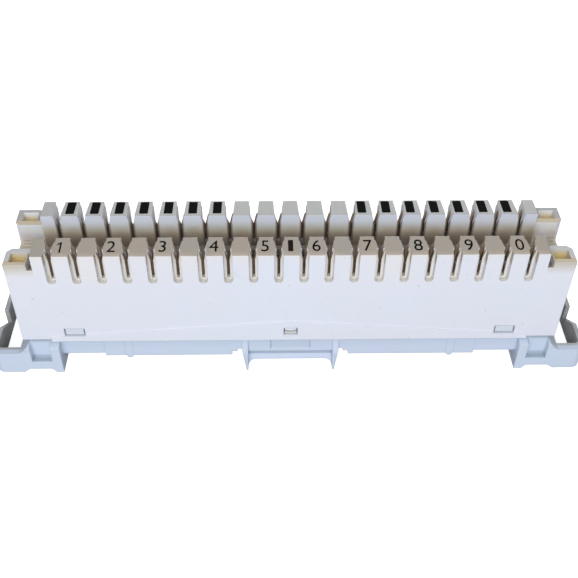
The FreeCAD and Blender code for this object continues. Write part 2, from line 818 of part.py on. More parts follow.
# Contacts: a stamped fork at 45 degrees with a spring that meets its partner.
def fork_path():
    """The flat fork, seen square to its sheet, from shank to tine tips."""
    half = d.contact_width * HALF
    gap_half = d.fork_gap * HALF
    mouth_half = d.fork_mouth * HALF
    shank_half = d.shank_width * HALF
    shoulder_rise = half - shank_half
    right = line_path(
        (gap_half, d.fork_bottom),
        (gap_half, d.contact_top - d.fork_mouth_depth),
        (mouth_half, d.contact_top),
        (half - d.tine_taper, d.contact_top),
        (half, d.contact_top - d.tine_taper_height),
        (half, d.shoulder_level + shoulder_rise),
        (shank_half, d.shoulder_level),
        (shank_half, d.shank_bottom),
    )
    return both_sides(right)


def spring_path():
    """Plan of the spring in the fork's own frame, from the shank past the middle plane."""
    slant = math.sqrt(HALF)
    reach = d.row_centre + d.spring_reach_past_middle
    tip = d.spring_touch_gap * HALF
    root = d.shank_width * HALF * slant
    corners = [
        (root - d.spring_sheet, root - d.spring_root_depth),
        (root + d.spring_sheet * HALF, root),
        (tip + d.spring_sheet, reach),
        (tip, reach),
    ]
    return [((x + y) * slant, (y - x) * slant, None) for x, y in corners]


def make_contact(label, slot, row_side):
    """One contact, in the front row (-1) or the rear row (+1), at the given slot."""
    body = new_body(label)
    sketch = new_sketch(body, f"{label}_fork", "XZ_Plane", [fork_path()])
    extrude(body, "Pad", f"{label}_sheet", sketch, d.contact_sheet, side="Symmetric")
    pad_up(body, f"{label}_spring", [spring_path()], d.spring_bottom, d.spring_top)
    slot_x = first_slot + d.contact_pitch * slot
    slot_y = d.row_centre * row_side
    turn = 45 if row_side < 0 else 225
    body.Placement = FreeCAD.Placement(
        FreeCAD.Vector(slot_x.number, slot_y.number, 0), FreeCAD.Rotation(FreeCAD.Vector(0, 0, 1), turn))
    body.setExpression("Placement.Base.x", slot_x.text)
    body.setExpression("Placement.Base.y", slot_y.text)
    return body


def check_document():
    """Every feature has computed, and every piece is one valid solid."""
    for item in doc.Objects:
        for state in ("Invalid", "Error"):
            if state in item.State:
                raise ValueError(f"{item.Name} is {state}")
    for piece in pieces:
        shape = piece.Shape
        if shape.isNull() or not shape.isValid() or len(shape.Solids) != 1:
            raise ValueError(f"{piece.Label} is not one valid solid")


pieces = [make_housing(), make_base()]
for slot in range(slot_count):
    pieces.append(make_contact(f"contact_front_{slot + 1:02d}", slot, -1))
    pieces.append(make_contact(f"contact_rear_{slot + 1:02d}", slot, 1))
doc.recompute()
check_document()

os.makedirs("parts", exist_ok=True)
for piece in pieces:
    piece.Shape.exportStep(f"parts/{piece.Label}.step")
    box = piece.Shape.BoundBox
    print(piece.Label, round(piece.Shape.Volume, 2), len(piece.Shape.Faces), box)
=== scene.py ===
import math

import bpy
from mathutils import Matrix, Vector


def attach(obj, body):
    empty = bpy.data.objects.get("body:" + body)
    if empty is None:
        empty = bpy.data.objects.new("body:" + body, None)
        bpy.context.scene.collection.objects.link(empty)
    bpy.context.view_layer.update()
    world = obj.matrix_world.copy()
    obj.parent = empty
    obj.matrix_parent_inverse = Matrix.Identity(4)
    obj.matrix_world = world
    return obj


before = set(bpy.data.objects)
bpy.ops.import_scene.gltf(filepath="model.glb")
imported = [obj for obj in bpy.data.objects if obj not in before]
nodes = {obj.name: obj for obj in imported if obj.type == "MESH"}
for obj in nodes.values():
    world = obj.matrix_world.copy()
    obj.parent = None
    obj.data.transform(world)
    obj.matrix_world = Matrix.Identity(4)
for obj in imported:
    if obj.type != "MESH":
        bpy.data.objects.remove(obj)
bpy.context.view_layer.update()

MM = 0.001

# Sizes shared with the CAD model, in millimetres.
PITCH = 5.0
FIRST_TOOTH_X = -50.0
HOUSING_HALF_DEPTH = 8.65
HOUSING_END = 56.4
HOUSING_BASE = 8.1
ROW_DEPTH = 5.25
CHANNEL_HALF = HOUSING_HALF_DEPTH - ROW_DEPTH
CHANNEL_FLOOR = 24.0
TOOTH_TOP = 31.7
LABEL_RISE = 0.35
GROOVE_BOTTOM = 24.5
GROOVE_BACK = 7.25
EAR_START = 50.8
EAR_TOP = 29.6
CUP_START = 52.1
CUP_END = 55.4
CUP_FRONT = 7.7
CUP_BACK = 5.0
NOTCH_END = 51.9
NOTCH_FLOOR = 28.1
WINDOW_X = 45.2
NIB_HALF = 1.95
NIB_BOTTOM = 9.75
PANEL_HALF = 4.2
PANEL_BOTTOM = 4.75
APRON_HALF = 9.05
APRON_TOP = 4.1
RIB_X = 34.5
RIB_RADIUS = 0.7
RAIL_STEP_X = 39.7
FOOT_INNER = 48.8
FOOT_SHOULDER = 7.5
FOOT_WINDOW_START = 50.8
FOOT_WINDOW_END = 55.1
GUIDE_START = 57.5
GUIDE_INNER_DEPTH = 8.25

# Camera fitted to the photograph, in millimetres and degrees.
CAMERA_PLACE = (-4.34, -137.92, 145.35)
CAMERA_YAW = -1.717
CAMERA_PITCH = 43.462
CAMERA_ROLL = 0.811
LENS = 55.19
SENSOR = 36.0
CLIP_START = 5.0

# Inputs and output of the Mix node when it mixes colours, and inputs of the Mix Shader node.
MIX_FACTOR, MIX_FIRST, MIX_SECOND, MIX_RESULT = 0, 6, 7, 2
SHADER_FACTOR, SHADER_FIRST, SHADER_SECOND = 0, 1, 2

WHITE = (1.0, 1.0, 1.0, 1.0)


# Node helpers. Those that are given a socket work in the tree that it belongs to.

def new_material(name):
    material = bpy.data.materials.new(name)
    material.use_nodes = True
    tree = material.node_tree
    shader = tree.nodes["Principled BSDF"]
    return material, tree, shader


def add_node(tree, kind, **inputs):
    node = tree.nodes.new(kind)
    for name, value in inputs.items():
        node.inputs[name.replace("_", " ")].default_value = value
    return node


def connect(source, target):
    source.id_data.links.new(source, target)


def split(vector):
    node = add_node(vector.id_data, "ShaderNodeSeparateXYZ")
    connect(vector, node.inputs["Vector"])
    return node.outputs["X"], node.outputs["Y"], node.outputs["Z"]


def noise(coordinates, scale, detail=3.0, roughness=0.5):
    """Noise with scale features in a metre."""
    node = add_node(
        coordinates.id_data, "ShaderNodeTexNoise", Scale=scale, Detail=detail, Roughness=roughness)
    connect(coordinates, node.inputs["Vector"])
    return node.outputs["Fac"]


def stretched(coordinates, stretch):
    node = add_node(coordinates.id_data, "ShaderNodeMapping", Scale=stretch)
    connect(coordinates, node.inputs["Vector"])
    return node.outputs["Vector"]


def ramp(value, stops):
    node = add_node(value.id_data, "ShaderNodeValToRGB")
    elements = node.color_ramp.elements
    while len(elements) < len(stops):
        elements.new(0.5)
    for element, (position, color) in zip(elements, stops):
        element.position = position
        element.color = (*color, 1.0)
    connect(value, node.inputs["Fac"])
    return node.outputs["Color"]


def remap(value, low, high, new_low=0.0, new_high=1.0):
    """The value spread from low..high to new_low..new_high, and held at both ends."""
    node = add_node(
        value.id_data, "ShaderNodeMapRange",
        From_Min=low, From_Max=high, To_Min=new_low, To_Max=new_high)
    node.clamp = True
    connect(value, node.inputs["Value"])
    return node.outputs["Result"]


def calculate(operation, first, second=0.0):
    node = add_node(first.id_data, "ShaderNodeMath")
    node.operation = operation
    connect(first, node.inputs[0])
    if isinstance(second, (int, float)):
        node.inputs[1].default_value = second
    else:
        connect(second, node.inputs[1])
    return node.outputs["Value"]


def product(first, *others):
    for other in others:
        first = calculate("MULTIPLY", first, other)
    return first


def magnitude(value):
    return calculate("ABSOLUTE", value)


def distance_from(value, centre_mm):
    """How far a coordinate is from a place given in millimetres, to either side."""
    return magnitude(calculate("SUBTRACT", value, centre_mm * MM))


def mix_colors(factor, first, second):
    node = add_node(factor.id_data, "ShaderNodeMix")
    node.data_type = "RGBA"
    node.clamp_factor = True
    connect(factor, node.inputs[MIX_FACTOR])
    for index, color in ((MIX_FIRST, first), (MIX_SECOND, second)):
        if isinstance(color, tuple):
            node.inputs[index].default_value = (*color, 1.0)
        else:
            connect(color, node.inputs[index])
    return node.outputs[MIX_RESULT]


def paint(color, tone, *masks, strength=1.0):
    """The colour with a tone laid over it where all the masks are 1, and less where one is lower."""
    return mix_colors(product(*masks, strength), color, tone)


def rise(value, low, high):
    """A mask that goes from 0 at low to 1 at high, both in millimetres."""
    return remap(value, low * MM, high * MM)


def fall(value, low, high):
    """A mask that goes from 1 at low to 0 at high, both in millimetres."""
    return remap(value, low * MM, high * MM, 1.0, 0.0)


def window(value, low, high, soft):
    """A mask that is 1 between low and high, with edges soft millimetres wide."""
    return product(rise(value, low - soft, low), fall(value, high, high + soft))


def mottle(coordinates, scale, detail, low=0.3, high=0.7):
    """Noise with its part from low to high spread out to reach from 0 to 1."""
    return remap(noise(coordinates, scale, detail), low, high)


def bump(shader, height, strength, distance_mm, normal=None):
    node = add_node(
        height.id_data, "ShaderNodeBump", Strength=strength, Distance=distance_mm * MM)
    if normal:
        connect(normal, node.inputs["Normal"])
    connect(height, node.inputs["Height"])
    connect(node.outputs["Normal"], shader.inputs["Normal"])


# What both plastics share.

EDGE_RADIUS = 0.3
EDGE_SAMPLES = 6
# Painted highlight along rounded edges: its tone, its strength and where it sits.
EDGE_HIGHLIGHT_TONE = (0.86, 0.85, 0.82)
EDGE_HIGHLIGHT_STRENGTH = 0.3
# Cosine of the angle between the rounded and the true normal, where the painted highlight is full and
# where it ends.
EDGE_HIGHLIGHT_COSINES = (0.8, 0.98)
GRAIN_SCALE = 900.0
GRAIN_STRENGTH = 0.12
GRAIN_HEIGHT = 0.05
SCRATCH_STRETCH = (18.0, 260.0, 900.0)
SCRATCH_SHARE = 0.6
PLASTIC_IOR = 1.5
HAIRLINE_STRETCH = (55.0, 55.0, 160.0)
HAIRLINE_WIDTH = 0.004
HAIRLINE_TONE = (0.45, 0.44, 0.43)
SPECK_SCALE = 1300.0
SPECK_TONE = (0.38, 0.36, 0.33)


class Plastic:
    """A plastic's material, with the coordinates that its stains are placed by."""

    def __init__(self, name):
        self.material, self.tree, self.shader = new_material(name)
        coordinates = add_node(self.tree, "ShaderNodeTexCoord")
        self.place = coordinates.outputs["Object"]
        self.normal = coordinates.outputs["Normal"]
        self.x, self.y, self.z = split(self.place)
        self.along = magnitude(self.x)
        self.depth = magnitude(self.y)


def highlight_edges(plastic, rounded, color):
    """The colour, paler where the rounded normal turns away from the face's own, as a painted highlight.
    """
    facing = add_node(plastic.tree, "ShaderNodeVectorMath")
    facing.operation = "DOT_PRODUCT"
    geometry = add_node(plastic.tree, "ShaderNodeNewGeometry")
    connect(rounded, facing.inputs[0])
    connect(geometry.outputs["True Normal"], facing.inputs[1])
    edge_highlight = remap(facing.outputs["Value"], *EDGE_HIGHLIGHT_COSINES, EDGE_HIGHLIGHT_STRENGTH, 0.0)
    return paint(color, EDGE_HIGHLIGHT_TONE, edge_highlight)


def plastic_surface(plastic, color, smoothest, roughest):
    """Satin plastic: rounded edges paler with a painted highlight, fine scratches and a faint
    orange-peel grain.
    """
    edge = add_node(plastic.tree, "ShaderNodeBevel", Radius=EDGE_RADIUS * MM)
    edge.samples = EDGE_SAMPLES
    rounded = edge.outputs["Normal"]
    connect(highlight_edges(plastic, rounded, color), plastic.shader.inputs["Base Color"])
    speckle = noise(plastic.place, GRAIN_SCALE, 2.0)
    connect(remap(speckle, 0.3, 0.7, smoothest, roughest), plastic.shader.inputs["Roughness"])
    scratches = noise(stretched(plastic.place, SCRATCH_STRETCH), 1.0, 5.0, 0.65)
    grain = calculate("ADD", product(scratches, SCRATCH_SHARE), speckle)
    bump(plastic.shader, grain, GRAIN_STRENGTH, GRAIN_HEIGHT, rounded)
    plastic.shader.inputs["IOR"].default_value = PLASTIC_IOR


def fine_marks(plastic, color):
    """Hairline scratches and specks of dust on the broad faces."""
    lines = noise(stretched(plastic.place, HAIRLINE_STRETCH), 1.0, 2.0)
    off_line = magnitude(calculate("SUBTRACT", lines, 0.5))
    hairline = remap(off_line, 0.0, HAIRLINE_WIDTH, 1.0, 0.0)
    sparse = remap(noise(plastic.place, 70.0, 1.0), 0.6, 0.68)
    color = paint(color, HAIRLINE_TONE, hairline, sparse, strength=0.16)
    specks = remap(noise(plastic.place, SPECK_SCALE, 1.0), 0.75, 0.8)
    return paint(color, SPECK_TONE, specks, strength=0.4)


# Housing. The heights and places of its stains and painted shade are in millimetres. Small sums such as
# EAR_START + 0.05 keep a mask's soft edge just past a face or just short of it.

CLEAN_WHITE = (0.768, 0.80, 0.878)
WARMER_WHITE = (0.778, 0.785, 0.865)

CREAM = (0.86, 0.80, 0.72)
CREAM_HEIGHTS = (21.5, 27.0)
PEACH = (0.88, 0.74, 0.60)
PEACH_HEIGHTS = (20.5, 25.5)
PEACH_SPAN = (-24.0, 4.0)
PEACH_SOFT = 8.0
TIP_CREAM = (0.80, 0.76, 0.72)
TIP_HEIGHTS = (29.6, 31.6)

# Tones of the channel's faces, spread over CHANNEL_TONE_HEIGHTS: brown staining and painted shade,
# darker towards the floor.
CHANNEL_TONES = (
    (0.0, (0.38, 0.31, 0.24)),
    (0.17, (0.45, 0.39, 0.31)),
    (0.35, (0.58, 0.54, 0.42)),
    (0.53, (0.60, 0.60, 0.58)),
    (0.83, (0.65, 0.68, 0.76)),
)
CHANNEL_TONE_HEIGHTS = (26.0, 32.0)
CHANNEL_ON_EARS = 0.45
SLOT_EDGE_DARK = (0.16, 0.11, 0.08)
# Distances from a slot's middle at which the darkening beside it begins and is full.
SLOT_EDGE_DARK_REACH = (0.66, 0.46)
SLOT_EDGE_DARK_HEIGHTS = (30.0, 30.8)
BLOTCH = (0.42, 0.31, 0.21)
BLOTCH_HEIGHTS = (27.2, 29.8)
FLOOR_TONE = (0.46, 0.39, 0.31)

GROOVE_CREAM = (0.84, 0.79, 0.71)
GROOVE_TOP = 31.4
POCKET_BEIGE = (0.78, 0.75, 0.68)
MOUTH_BROWN = (0.50, 0.41, 0.30)
MOUTH_HEIGHTS = (28.6, 29.4)
SLOT_WALL_BROWN = (0.25, 0.18, 0.12)
SLOT_WALL_SPAN = (25.2, 28.6)

LABEL_GREY = (0.42, 0.385, 0.325)
LABEL_BROWN = (0.465, 0.38, 0.295)
REAR_LABEL = (0.47, 0.475, 0.455)
LABEL_EDGE = (0.84, 0.66, 0.53)

EAR_SHADE = (0.56, 0.50, 0.40)
EAR_SHADE_START = 26.5
FRONT_RIM = (0.63, 0.63, 0.62)
REAR_RIM = (0.46, 0.46, 0.46)
RIM_YELLOW = (0.66, 0.56, 0.40)
NEAR_STRIP_EDGE = (-7.4, -7.2)
CUP_INSIDE_START = 27.4
FRONT_CUP = (0.60, 0.56, 0.44)
REAR_CUP = (0.68, 0.67, 0.62)
CUP_YELLOW = (0.76, 0.60, 0.28)
CUP_YELLOW_HEIGHTS = (28.2, 29.0)
NOTCH_DIRT = (0.22, 0.16, 0.09)
EAR_FOOT_CREAM = (0.80, 0.70, 0.54)
EAR_FOOT_HEIGHTS = (24.6, 26.5)


def over_comb(plastic):
    """1 along the comb, 0 over the ears."""
    return fall(plastic.along, EAR_START - 0.2, EAR_START)


def over_ears(plastic):
    return rise(plastic.along, EAR_START - 0.05, EAR_START + 0.05)


def front_row(plastic):
    return fall(plastic.y, -1.0, 0.0)


def rear_row(plastic):
    return rise(plastic.y, -1.0, 1.0)


def facing_up(plastic):
    return remap(split(plastic.normal)[2], 0.55, 0.9)


def facing_sideways(plastic, low, high):
    return remap(magnitude(split(plastic.normal)[0]), low, high)


def stain_upper_faces(plastic, color):
    """Cream in broad patches, peach left of the middle, and a duller cream at the tips of the teeth."""
    broad = mottle(stretched(plastic.place, (1.0, 1.0, 0.7)), 42.0, 2.0, 0.42, 0.66)
    color = paint(color, CREAM, rise(plastic.z, *CREAM_HEIGHTS), broad, strength=0.4)
    near_middle = window(plastic.x, *PEACH_SPAN, PEACH_SOFT)
    color = paint(color, PEACH, near_middle, rise(plastic.z, *PEACH_HEIGHTS), broad, strength=0.3)
    return paint(color, TIP_CREAM, rise(plastic.z, *TIP_HEIGHTS), strength=0.35)


def stain_and_shade_channel(plastic, color, patches):
    """Channel faces browned and darkened with painted shade towards the floor, darker beside each slot,
    and with blotches between them.
    """
    across = product(
        fall(plastic.depth, CHANNEL_HALF + 0.2, CHANNEL_HALF + 0.7),
        rise(plastic.depth, CHANNEL_HALF - 0.4, CHANNEL_HALF - 0.05))
    inside_ends = fall(plastic.along, HOUSING_END - 0.2, HOUSING_END - 0.05)
    faces = product(across, rise(plastic.z, CHANNEL_FLOOR - 0.4, CHANNEL_FLOOR), inside_ends)
    low, high = CHANNEL_TONE_HEIGHTS
    # Brown staining and painted shade, darker towards the channel floor.
    aged_and_shaded = ramp(remap(plastic.z, low * MM, high * MM), CHANNEL_TONES)
    fainter_on_ears = remap(
        plastic.along, (EAR_START - 0.1) * MM, EAR_START * MM, 1.0, CHANNEL_ON_EARS)
    color = paint(color, aged_and_shaded, faces, fainter_on_ears)

    # turn runs from 0 to 1 between the middles of two slots, and is 0.5 at the middle of a tooth
    turn = calculate("FRACT", calculate("ADD", product(plastic.x, 1.0 / (PITCH * MM)), 0.5))
    mid_tooth = product(remap(turn, 0.2, 0.5), remap(turn, 0.65, 0.95, 1.0, 0.0))
    off_middle = product(magnitude(calculate("SUBTRACT", turn, 0.5)), PITCH * MM)
    # Darker beside each slot, below the tips of the teeth.
    outer, inner = SLOT_EDGE_DARK_REACH
    beside_slot = rise(off_middle, PITCH / 2 - outer, PITCH / 2 - inner)
    below_tips = fall(plastic.z, *SLOT_EDGE_DARK_HEIGHTS)
    color = paint(color, SLOT_EDGE_DARK, faces, beside_slot, below_tips, over_comb(plastic), strength=0.8)
    low_down = fall(plastic.z, *BLOTCH_HEIGHTS)
    color = paint(color, BLOTCH, faces, mid_tooth, low_down, patches, strength=0.65)

    between_rows = fall(plastic.depth, CHANNEL_HALF - 0.05, CHANNEL_HALF)
    at_floor = window(plastic.z, CHANNEL_FLOOR - 1.0, CHANNEL_FLOOR + 0.3, 0.2)
    return paint(color, FLOOR_TONE, between_rows, at_floor, strength=0.8)


def stain_and_shade_grooves(plastic, color):
    """Cream backs and beige bottoms of the wire grooves, and brown slot walls and front mouths that are
    partly painted shade.
    """
    groove_back = window(plastic.depth, GROOVE_BACK - 1.2, GROOVE_BACK + 0.08, 0.1)
    groove_height = window(plastic.z, GROOVE_BOTTOM - 0.1, GROOVE_TOP, 0.1)
    color = paint(color, GROOVE_CREAM, groove_back, groove_height, over_comb(plastic), strength=0.7)

    in_pocket = window(plastic.depth, GROOVE_BACK - 0.2, HOUSING_HALF_DEPTH - 0.02, 0.02)
    pocket_low = fall(plastic.z, GROOVE_BOTTOM + 0.9, GROOVE_BOTTOM + 1.2)
    pocket_floor = rise(plastic.z, CHANNEL_FLOOR, CHANNEL_FLOOR + 0.3)
    color = paint(color, POCKET_BEIGE, in_pocket, pocket_low, pocket_floor, strength=0.9)

    # Brown front mouths of the slots, partly painted shade of the slot and the contact fork.
    mouths = product(facing_sideways(plastic, 0.3, 0.6), rise(plastic.z, *MOUTH_HEIGHTS))
    in_row = rise(plastic.depth, CHANNEL_HALF - 0.2, CHANNEL_HALF)
    color = paint(
        color, MOUTH_BROWN, mouths, in_row, front_row(plastic), over_comb(plastic), strength=0.85)

    # Brown walls deep in the slots, partly painted shade.
    walls = product(facing_sideways(plastic, 0.5, 0.8), window(plastic.z, *SLOT_WALL_SPAN, 1.2))
    behind_grooves = fall(plastic.depth, GROOVE_BACK - 0.35, GROOVE_BACK - 0.05)
    return paint(color, SLOT_WALL_BROWN, walls, behind_grooves, over_comb(plastic), strength=0.9)


def stain_and_light_labels(plastic, color, patches):
    """Greyed brown tooth tops, darkened partly by yellowing and partly as painted shade for tops that
    catch less light, greyer on the rear row, with a peach painted highlight on the rim along the front
    one.
    """
    # Tooth tops darkened: yellowed plastic together with painted shade where the tops catch less light.
    tops = product(facing_up(plastic), rise(plastic.z, TOOTH_TOP - 0.5, TOOTH_TOP - 0.2))
    tone = mix_colors(patches, LABEL_GREY, LABEL_BROWN)
    tone = mix_colors(rear_row(plastic), tone, REAR_LABEL)
    color = paint(color, tone, tops, strength=0.95)
    # Peach painted highlight along the front rim of the front row's tops.
    outward = rise(plastic.depth, HOUSING_HALF_DEPTH - 1.35, HOUSING_HALF_DEPTH - 0.05)
    return paint(color, LABEL_EDGE, tops, outward, front_row(plastic), patches, strength=0.6)


def stain_rims(plastic, color):
    """Shaded front ears and grey rims, yellow at the front and beside the channel of the rear ears."""
    ears = over_ears(plastic)
    shaded = rise(plastic.z, EAR_SHADE_START, EAR_TOP - 0.2)
    color = paint(color, EAR_SHADE, ears, shaded, front_row(plastic), strength=0.9)
    rims = product(ears, facing_up(plastic), rise(plastic.z, EAR_TOP - 0.3, EAR_TOP - 0.1))
    color = paint(color, mix_colors(rear_row(plastic), FRONT_RIM, REAR_RIM), rims)
    near_strip = fall(plastic.y, *NEAR_STRIP_EDGE)
    far_strip = product(rise(plastic.y, 0.0, 0.5), fall(plastic.y, CUP_BACK + 0.1, CUP_BACK + 0.3))
    return paint(color, RIM_YELLOW, rims, calculate("ADD", near_strip, far_strip))


def stain_cups(plastic, color):
    """Cups of the ears, yellow low down, dirty notches, and a cream foot on the ears' inner side."""
    across = product(
        fall(plastic.depth, CUP_FRONT - 0.1, CUP_FRONT + 0.1),
        rise(plastic.depth, CUP_BACK - 0.2, CUP_BACK - 0.05))
    lengthways = product(
        rise(plastic.along, CUP_START - 0.1, CUP_START),
        fall(plastic.along, CUP_END - 0.05, CUP_END + 0.05))
    inside = window(plastic.z, CUP_INSIDE_START, EAR_TOP - 0.25, 0.2)
    tone = mix_colors(rear_row(plastic), FRONT_CUP, REAR_CUP)
    tone = mix_colors(fall(plastic.z, *CUP_YELLOW_HEIGHTS), tone, CUP_YELLOW)
    color = paint(color, tone, over_ears(plastic), inside, across, lengthways)

    notch_length = window(plastic.along, EAR_START + 0.06, NOTCH_END - 0.05, 0.04)
    notch_height = window(plastic.z, NOTCH_FLOOR - 0.1, NOTCH_FLOOR + 1.1, 0.15)
    notch_depth = window(plastic.depth, CUP_BACK - 0.5, HOUSING_HALF_DEPTH - 0.2, 0.1)
    color = paint(color, NOTCH_DIRT, notch_length, notch_height, notch_depth, strength=0.85)

    feet = product(
        over_ears(plastic), fall(plastic.z, *EAR_FOOT_HEIGHTS),
        rise(plastic.z, CHANNEL_FLOOR - 0.5, CHANNEL_FLOOR))
    inner_side = fall(plastic.depth, CUP_BACK - 0.2, CUP_BACK + 0.2)
    return paint(color, EAR_FOOT_CREAM, feet, inner_side, strength=0.75)


def housing_plastic():
    """White plastic that has yellowed on the tooth tops and ears and browned in the test channel, with
    painted shade on the tops, down the channel and in the slots.
    """
    plastic = Plastic("housing_moulding")
    patches = mottle(plastic.place, 130.0, 3.0)
    clouds = mottle(plastic.place, 55.0, 4.0, 0.35)
    color = mix_colors(clouds, CLEAN_WHITE, WARMER_WHITE)
    color = fine_marks(plastic, color)
    color = stain_upper_faces(plastic, color)
    color = stain_and_shade_channel(plastic, color, patches)
    color = stain_and_shade_grooves(plastic, color)
    color = stain_and_light_labels(plastic, color, patches)
    color = stain_rims(plastic, color)
    color = stain_cups(plastic, color)
    plastic_surface(plastic, color, smoothest=0.36, roughest=0.48)
    return plastic.material


# Base. Heights and places are in millimetres, as on the housing.

BLUE_GREY = (0.60, 0.70, 0.81)
VIOLET_GREY = (0.62, 0.68, 0.83)
GUIDE_SHADE_DARK = (0.30, 0.295, 0.27)
GUIDE_SHADE_PALE = (0.48, 0.475, 0.455)
BRACKET_SHADE = (0.36, 0.37, 0.36)
BRACKET_HEIGHTS = (6.0, 6.6)
PANEL_OUTLINE = (0.30, 0.36, 0.46)
APRON_SHADE = (0.30, 0.38, 0.50)
APRON_DEPTHS = (8.1, 8.2)
PANEL_SHADE = (0.42, 0.52, 0.59)
LEG_SHADE = (0.34, 0.41, 0.52)
LEG_HEIGHTS = (3.6, 4.6)
RAIL_SHADE = (0.40, 0.50, 0.62)
RAIL_SHADE_HEIGHTS = (5.0, 7.2)
RAIL_SHADE_DEPTHS = (8.5, 8.7)
LEDGE_SHADE = (0.40, 0.46, 0.52)
RIB_SHADE_LINE = (0.38, 0.47, 0.58)
RIB_DEPTHS = (8.15, 8.8)
RIB_HEIGHTS = (7.2, 7.8)
SILL_SHADE = (0.34, 0.41, 0.47)
SILL_DEPTHS = (8.6, 9.9)
SILL_HEIGHTS = (3.0, 3.6)
NIB_TONE = (0.66, 0.72, 0.78)
NIB_BORDER = (0.30, 0.35, 0.40)
MIDDLE_NIB = (0.70, 0.68, 0.60)
MIDDLE_NIB_ENDS = (2.0, 2.2)
MIDDLE_NIB_TOP = (0.74, 0.77, 0.80)
MIDDLE_NIB_LINE = (0.10, 0.10, 0.11)
MIDDLE_LINE_HEIGHT = 10.4
# How far the line rises away from the middle, in metres for each square metre of distance.
MIDDLE_LINE_CURVE = 150.0


def shade_guides(plastic, color):
    """Mottled painted shade inside and on top of the wire guides, and shade on the brackets before them.
    """
    patches = mottle(plastic.place, 260.0, 4.0)
    guides = product(
        rise(plastic.along, GUIDE_START - 0.3, GUIDE_START + 0.1),
        fall(plastic.depth, GUIDE_INNER_DEPTH + 0.3, GUIDE_INNER_DEPTH + 0.9))
    # Painted shade, mottled, inside and on top of the wire guides.
    color = paint(color, mix_colors(patches, GUIDE_SHADE_DARK, GUIDE_SHADE_PALE), guides, strength=0.93)
    brackets = rise(plastic.along, GUIDE_START - 2.2, GUIDE_START - 0.3)
    return paint(color, BRACKET_SHADE, brackets, rise(plastic.z, *BRACKET_HEIGHTS), strength=0.5)


def shade_middle(plastic, color):
    """Outlines of the middle panel, the shaded top of the apron and the legs beside it."""
    panel_edge = window(plastic.along, PANEL_HALF - 0.12, PANEL_HALF + 0.1, 0.12)
    above_panel = rise(plastic.z, PANEL_BOTTOM, PANEL_BOTTOM + 0.2)
    color = paint(color, PANEL_OUTLINE, panel_edge, above_panel, strength=0.4)
    apron = product(
        fall(plastic.along, APRON_HALF, APRON_HALF + 0.1), fall(plastic.depth, *APRON_DEPTHS))
    apron_top = window(plastic.z, APRON_TOP - 1.1, APRON_TOP, 0.15)
    color = paint(color, APRON_SHADE, apron, apron_top, strength=0.8)
    panel = fall(plastic.along, PANEL_HALF - 0.1, PANEL_HALF)
    on_panel = rise(plastic.z, PANEL_BOTTOM, PANEL_BOTTOM + 0.1)
    color = paint(color, PANEL_SHADE, panel, on_panel, strength=0.25)
    legs = window(plastic.along, APRON_HALF + 0.05, APRON_HALF + 1.4, 0.1)
    return paint(color, LEG_SHADE, legs, fall(plastic.z, *LEG_HEIGHTS), strength=0.3)


def shade_rail(plastic, color):
    """Shade below the housing, painted shade lines beside the rail's ribs and steps, and painted shade
    on the window sills.
    """
    below_housing = product(
        rise(plastic.z, *RAIL_SHADE_HEIGHTS), fall(plastic.depth, *RAIL_SHADE_DEPTHS))
    color = paint(color, RAIL_SHADE, below_housing, strength=0.3)
    ledges = window(plastic.along, FOOT_INNER, HOUSING_END + 0.1, 0.2)
    on_ledge = rise(plastic.z, FOOT_SHOULDER, FOOT_SHOULDER + 0.4)
    color = paint(color, LEDGE_SHADE, ledges, on_ledge, strength=0.4)
    # Painted shade lines beside the rail's ribs and its steps.
    beside_rib = window(
        distance_from(plastic.along, RIB_X), RIB_RADIUS + 0.05, RIB_RADIUS + 0.25, 0.12)
    beside_step = window(plastic.along, RAIL_STEP_X - 0.1, RAIL_STEP_X + 0.05, 0.12)
    shade_lines = calculate("ADD", beside_rib, beside_step)
    on_rail = product(window(plastic.depth, *RIB_DEPTHS, 0.1), fall(plastic.z, *RIB_HEIGHTS))
    color = paint(color, RIB_SHADE_LINE, shade_lines, on_rail, strength=0.3)
    # Painted shade on the sills of the foot windows.
    foot_windows = window(plastic.along, FOOT_WINDOW_START - 0.1, FOOT_WINDOW_END + 0.1, 0.1)
    sills = product(window(plastic.depth, *SILL_DEPTHS, 0.1), window(plastic.z, *SILL_HEIGHTS, 0.7))
    return paint(color, SILL_SHADE, foot_windows, sills, strength=0.75)


def paint_nibs(plastic, color):
    """Nibs seen through the housing's windows, the middle one with a curved dark line."""
    nibs = rise(plastic.z, HOUSING_BASE + 0.1, HOUSING_BASE + 0.3)
    color = paint(color, NIB_TONE, nibs)
    ends = rise(distance_from(plastic.along, WINDOW_X), NIB_HALF - 0.2, NIB_HALF - 0.05)
    bottoms = fall(plastic.z, NIB_BOTTOM + 0.1, NIB_BOTTOM + 0.25)
    color = paint(color, NIB_BORDER, nibs, calculate("MAXIMUM", ends, bottoms), strength=0.6)
    middle = product(nibs, fall(plastic.along, *MIDDLE_NIB_ENDS))
    color = paint(color, MIDDLE_NIB, middle, strength=0.8)
    curve = product(plastic.along, plastic.along, -MIDDLE_LINE_CURVE)
    height = calculate("ADD", plastic.z, curve)
    above_line = rise(height, MIDDLE_LINE_HEIGHT, MIDDLE_LINE_HEIGHT + 0.1)
    color = paint(color, MIDDLE_NIB_TOP, middle, above_line)
    on_line = window(height, MIDDLE_LINE_HEIGHT - 0.04, MIDDLE_LINE_HEIGHT + 0.1, 0.12)
    return paint(color, MIDDLE_NIB_LINE, middle, on_line, strength=0.85)


